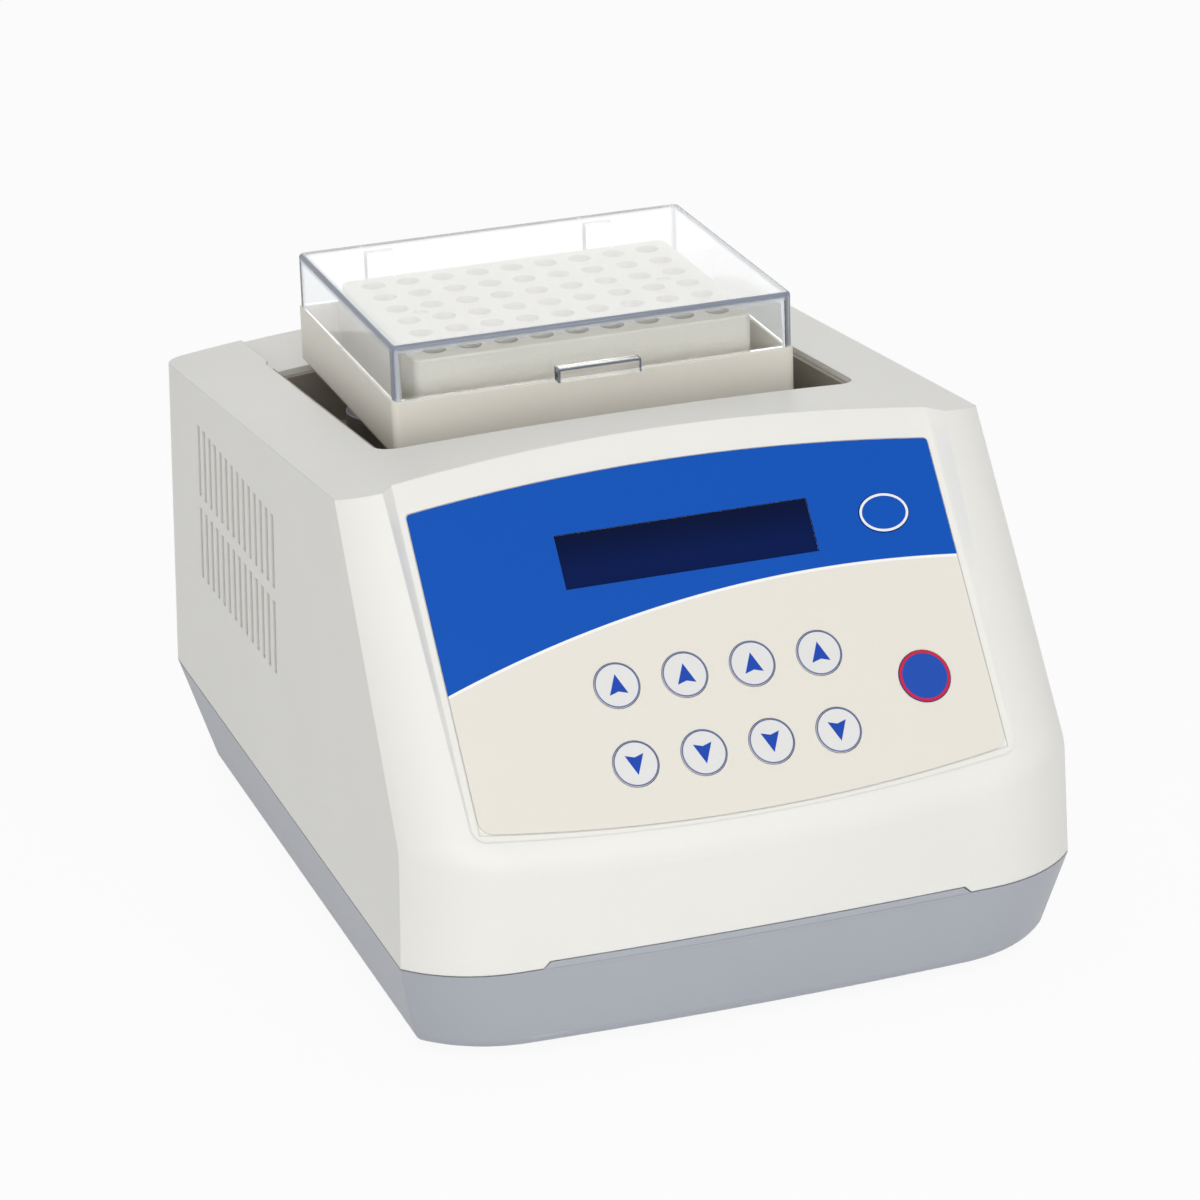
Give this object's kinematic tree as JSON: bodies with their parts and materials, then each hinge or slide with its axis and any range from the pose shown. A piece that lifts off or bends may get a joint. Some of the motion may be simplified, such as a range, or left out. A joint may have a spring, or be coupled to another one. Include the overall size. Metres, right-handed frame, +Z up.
{
  "type": "thermal mixer",
  "caption": "Bench mixer that heats and shakes small tubes: sloping key panel, orbiting tray with an aluminium block, clear hinged lid, vented two-part case.",
  "frame": {"origin": "on the bench under the middle of the housing", "axes": "+X to the right, +Y to the back, +Z up; the control panel faces -Y"},
  "size_m": [0.22, 0.294, 0.1895],
  "materials": {
    "housing_white": "light moulded, fine texture",
    "housing_grey": "grey moulded, fine texture",
    "dark_plastic": "black moulded",
    "liner_plastic": "dark moulded",
    "foot_rubber": "matt",
    "screw_steel": "zinc plated",
    "overlay_film": "printed film, blue lower area",
    "window_plastic": "tinted clear",
    "board_green": "coated laminate",
    "display_black": "display frame",
    "key_plastic": "moulded keys",
    "plate_steel": "bare sheet",
    "aluminium_part": "machined",
    "block_aluminium": "bead blasted, anodised",
    "tray_plastic": "light paint",
    "motor_steel": "drawn can",
    "bronze": "sintered",
    "bearing_steel": "ground",
    "weight_steel": "oiled",
    "pad_felt": "foam sheet",
    "lid_clear": "clear moulded",
    "fuse_glass": "clear",
    "pin_brass": "plated"
  },
  "bodies": {
    "housing": {"base_pan": "housing_grey", "top_cover": "housing_white", "recess_liner": "liner_plastic", "rubber_feet": "foot_rubber", "case_screws": "screw_steel", "base_screws": "screw_steel", "panel_overlay": "overlay_film", "display_window": "window_plastic", "display_module": "display_black", "control_board": "board_green", "board_screws": "screw_steel", "key_switches": "dark_plastic", "chassis_plate": "plate_steel", "chassis_posts": "aluminium_part", "chassis_screws": "screw_steel", "drive_motor": "motor_steel", "motor_screws": "screw_steel", "chassis_bushes": "bronze", "fan_frame": "dark_plastic", "fan_bracket": "plate_steel", "fan_screws": "screw_steel", "power_board": "board_green", "supply_screws": "screw_steel", "power_inlet": "dark_plastic", "inlet_pins": "pin_brass", "switch_frame": "dark_plastic"},
    "drive": {"drive_crank": "bearing_steel", "counterweight": "weight_steel"},
    "idler_left_body": {"idler_left": "bearing_steel"},
    "idler_right_body": {"idler_right": "bearing_steel"},
    "tray": {"tray_plate": "aluminium_part", "drive_bearing": "bearing_steel", "tray_bushes": "bronze", "tray_shell": "tray_plastic", "tray_screws": "screw_steel", "hinge_pins": "bearing_steel", "insulation_pad": "pad_felt", "heater_plate": "aluminium_part", "temperature_sensor": "bearing_steel", "tube_block": "block_aluminium", "block_screws": "screw_steel"},
    "lid": {"clear_lid": "lid_clear"},
    "fan": {"fan_rotor": "dark_plastic"},
    "rocker": {"switch_rocker": "dark_plastic"},
    "fuse_tray": {"fuse_drawer": "dark_plastic", "fuse": "fuse_glass"},
    "key_up_1_body": {"key_up_1": "key_plastic"},
    "key_up_2_body": {"key_up_2": "key_plastic"},
    "key_up_3_body": {"key_up_3": "key_plastic"},
    "key_up_4_body": {"key_up_4": "key_plastic"},
    "key_down_1_body": {"key_down_1": "key_plastic"},
    "key_down_2_body": {"key_down_2": "key_plastic"},
    "key_down_3_body": {"key_down_3": "key_plastic"},
    "key_down_4_body": {"key_down_4": "key_plastic"},
    "key_start_stop_body": {"key_start_stop": "key_plastic"},
    "key_short_mix_body": {"key_short_mix": "key_plastic"}
  },
  "joints": [
    {"name": "drive_spin", "type": "hinge", "parent": "housing", "child": "drive", "pos_m": [0, 0.045, 0.11], "axis": [0, 0, 1], "continuous": true},
    {"name": "idler_left_spin", "type": "hinge", "parent": "housing", "child": "idler_left_body", "pos_m": [-0.055, 0.045, 0.11], "axis": [0, 0, 1], "continuous": true},
    {"name": "idler_right_spin", "type": "hinge", "parent": "housing", "child": "idler_right_body", "pos_m": [0.055, 0.045, 0.11], "axis": [0, 0, 1], "continuous": true},
    {"name": "tray_orbit", "type": "hinge", "parent": "drive", "child": "tray", "pos_m": [-0.0015, 0.045, 0.143], "axis": [0, 0, 1], "continuous": true},
    {"name": "lid_hinge", "type": "hinge", "parent": "tray", "child": "lid", "pos_m": [-0.0015, 0.1037, 0.169], "axis": [-1, 0, 0], "range_deg": [0, 105]},
    {"name": "fan_spin", "type": "hinge", "parent": "housing", "child": "fan", "pos_m": [-0.096, 0.053, 0.094], "axis": [-1, 0, 0], "continuous": true},
    {"name": "rocker_tilt", "type": "hinge", "parent": "housing", "child": "rocker", "pos_m": [-0.018, 0.14322, 0.07392], "axis": [1, 0, 0], "range_deg": [0, 16]},
    {"name": "fuse_drawer_slide", "type": "slide", "parent": "housing", "child": "fuse_tray", "axis": [0, 0.9995, 0.0325], "range_m": [0, 0.018]},
    {"name": "key_up_1_press", "type": "slide", "parent": "housing", "child": "key_up_1_body", "axis": [0, 0.7826, -0.6225], "range_m": [0, 0.0004], "stiffness_N_per_m": 400},
    {"name": "key_up_2_press", "type": "slide", "parent": "housing", "child": "key_up_2_body", "axis": [0, 0.7826, -0.6225], "range_m": [0, 0.0004], "stiffness_N_per_m": 400},
    {"name": "key_up_3_press", "type": "slide", "parent": "housing", "child": "key_up_3_body", "axis": [0, 0.7826, -0.6225], "range_m": [0, 0.0004], "stiffness_N_per_m": 400},
    {"name": "key_up_4_press", "type": "slide", "parent": "housing", "child": "key_up_4_body", "axis": [0, 0.7826, -0.6225], "range_m": [0, 0.0004], "stiffness_N_per_m": 400},
    {"name": "key_down_1_press", "type": "slide", "parent": "housing", "child": "key_down_1_body", "axis": [0, 0.7826, -0.6225], "range_m": [0, 0.0004], "stiffness_N_per_m": 400},
    {"name": "key_down_2_press", "type": "slide", "parent": "housing", "child": "key_down_2_body", "axis": [0, 0.7826, -0.6225], "range_m": [0, 0.0004], "stiffness_N_per_m": 400},
    {"name": "key_down_3_press", "type": "slide", "parent": "housing", "child": "key_down_3_body", "axis": [0, 0.7826, -0.6225], "range_m": [0, 0.0004], "stiffness_N_per_m": 400},
    {"name": "key_down_4_press", "type": "slide", "parent": "housing", "child": "key_down_4_body", "axis": [0, 0.7826, -0.6225], "range_m": [0, 0.0004], "stiffness_N_per_m": 400},
    {"name": "key_start_stop_press", "type": "slide", "parent": "housing", "child": "key_start_stop_body", "axis": [0, 0.7826, -0.6225], "range_m": [0, 0.0004], "stiffness_N_per_m": 400},
    {"name": "key_short_mix_press", "type": "slide", "parent": "housing", "child": "key_short_mix_body", "axis": [0, 0.7826, -0.6225], "range_m": [0, 0.0004], "stiffness_N_per_m": 400}
  ],
  "couplings": [
    {"joint": "tray_orbit", "follows": "drive_spin", "ratio": -1},
    {"joint": "idler_left_spin", "follows": "drive_spin", "ratio": 1},
    {"joint": "idler_right_spin", "follows": "drive_spin", "ratio": 1}
  ]
}
